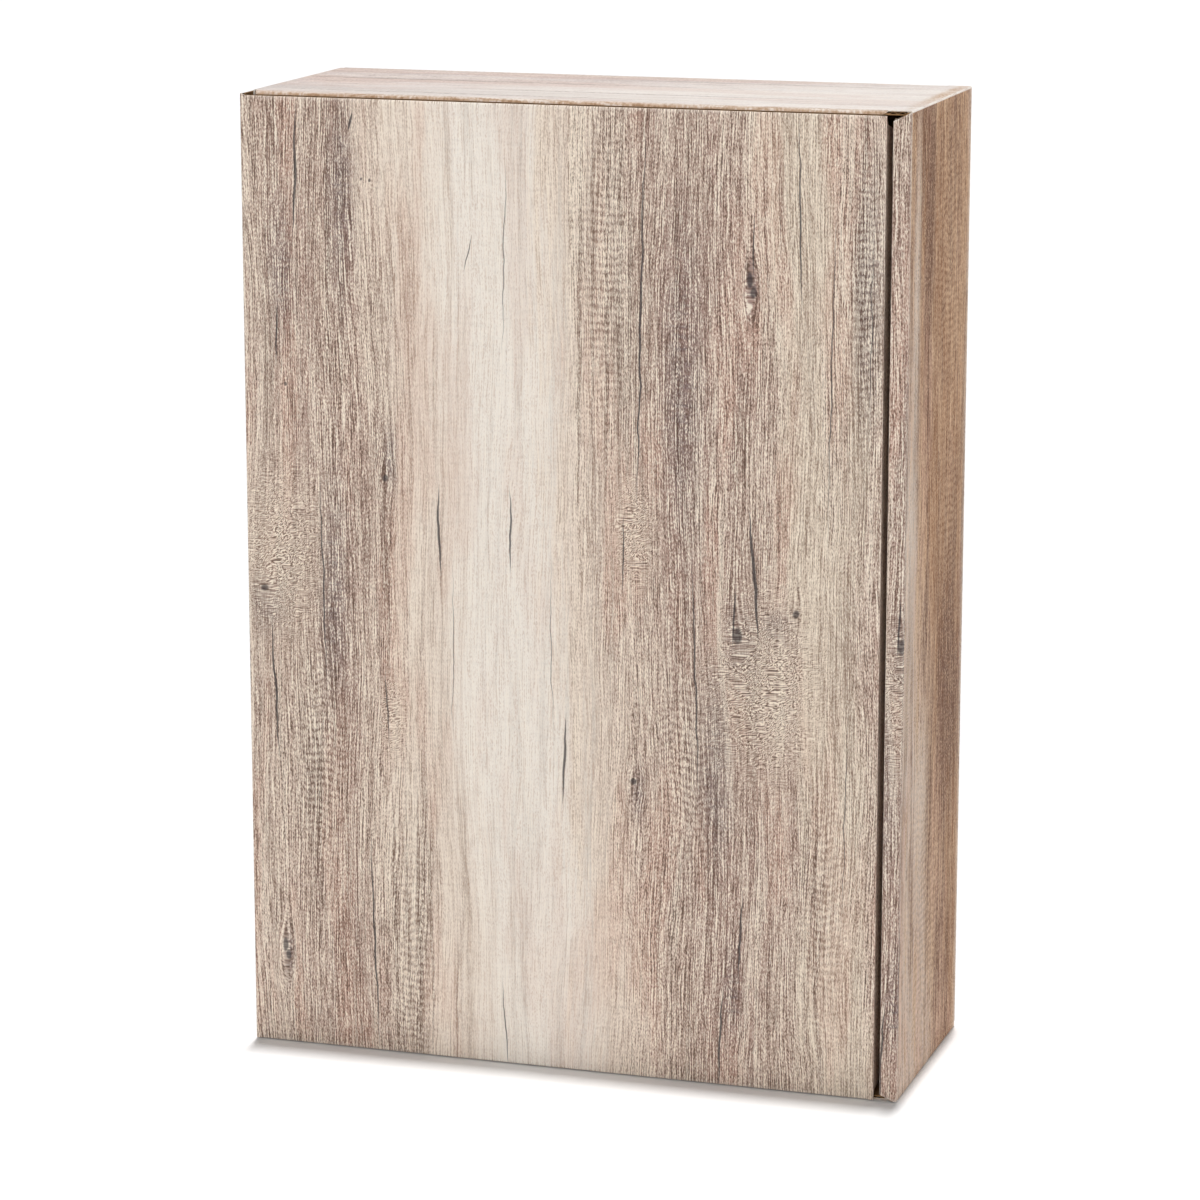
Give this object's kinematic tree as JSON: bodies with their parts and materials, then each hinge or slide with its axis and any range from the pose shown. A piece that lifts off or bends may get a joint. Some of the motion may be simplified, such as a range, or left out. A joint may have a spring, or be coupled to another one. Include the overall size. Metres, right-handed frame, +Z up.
{
  "type": "wine gift box",
  "caption": "Upright folding carton with a wood-look print: the full-height front opens as a lid with a tuck flap, the top tucks in, and dividers with a neck support keep bottles apart.",
  "frame": {"origin": "middle of the footprint, on the surface that the box stands on", "axes": "+Z up along the bottles, -Y out of the lid's face, +X from the hinge side to the rim side"},
  "size_m": [0.25, 0.095, 0.36],
  "materials": {
    "printed_board": "matt wood-grain print on a white liner",
    "kraft_board": "plain brown kraft liner"
  },
  "bodies": {
    "tray": {"back_panel": "printed_board", "left_wall": "printed_board", "right_wall": "printed_board", "right_rim": "printed_board", "right_inner_wall": "printed_board", "top_dust_flap": "printed_board", "bottom_panel": "printed_board", "bottom_tuck_flap": "printed_board", "bottom_dust_flap": "printed_board", "divider_left": "kraft_board", "divider_right": "kraft_board", "neck_support": "kraft_board"},
    "lid": {"lid_panel": "printed_board"},
    "lid_tuck": {"lid_tuck_flap": "printed_board"},
    "top": {"top_panel": "printed_board"},
    "top_tuck": {"top_tuck_flap": "printed_board"}
  },
  "joints": [
    {"name": "lid_hinge", "type": "hinge", "parent": "tray", "child": "lid", "pos_m": [-0.1242, -0.0467, 0.18], "axis": [0, 0, -1], "range_deg": [0, 180]},
    {"name": "lid_tuck_fold", "type": "hinge", "parent": "lid", "child": "lid_tuck", "pos_m": [0.1156, -0.0467, 0.18], "axis": [0, 0, -1], "range_deg": [0, 90]},
    {"name": "top_hinge", "type": "hinge", "parent": "tray", "child": "top", "pos_m": [0.1242, 0, 0.3592], "axis": [0, 1, 0], "range_deg": [0, 120]},
    {"name": "top_tuck_fold", "type": "hinge", "parent": "top", "child": "top_tuck", "pos_m": [-0.1207, 0, 0.3592], "axis": [0, 1, 0], "range_deg": [0, 60]}
  ],
  "couplings": [
    {"joint": "lid_tuck_fold", "follows": "lid_hinge", "ratio": 0.5},
    {"joint": "top_tuck_fold", "follows": "top_hinge", "ratio": 0.5}
  ]
}
